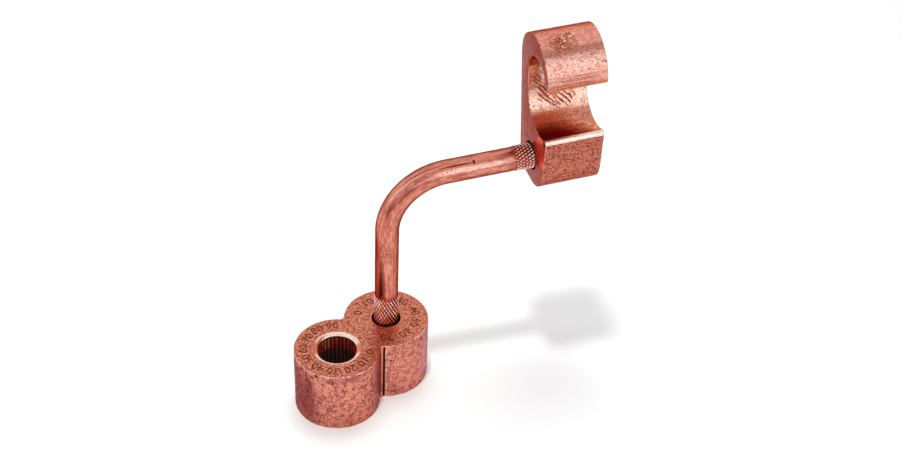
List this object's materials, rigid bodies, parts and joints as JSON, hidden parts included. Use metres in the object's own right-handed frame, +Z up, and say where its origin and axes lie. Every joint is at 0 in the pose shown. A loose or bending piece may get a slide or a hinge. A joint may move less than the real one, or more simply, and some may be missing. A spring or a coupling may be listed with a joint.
{
  "type": "compression connector",
  "caption": "Copper compression connector: a figure-eight sleeve for a ground rod, joined by a bent round rod with knurled ends to an open hook that is crimped over a cable.",
  "frame": {"origin": "on the axis of the ground-rod bore, in the plane of the sleeve's base", "axes": "+Z up the bore, +X along the link rod's upper leg as seen from above, and the hook opens towards -Y"},
  "size_m": [0.1122, 0.0434, 0.142],
  "materials": {
    "sleeve_copper": "satin sawn and turned copper",
    "rod_copper": "satin drawn copper with knurled ends",
    "hook_copper": "satin extruded copper with sawn ends"
  },
  "bodies": {
    "root": {"rod_sleeve": "sleeve_copper", "link_rod": "rod_copper", "hook_tap": "hook_copper"}
  },
  "joints": []
}
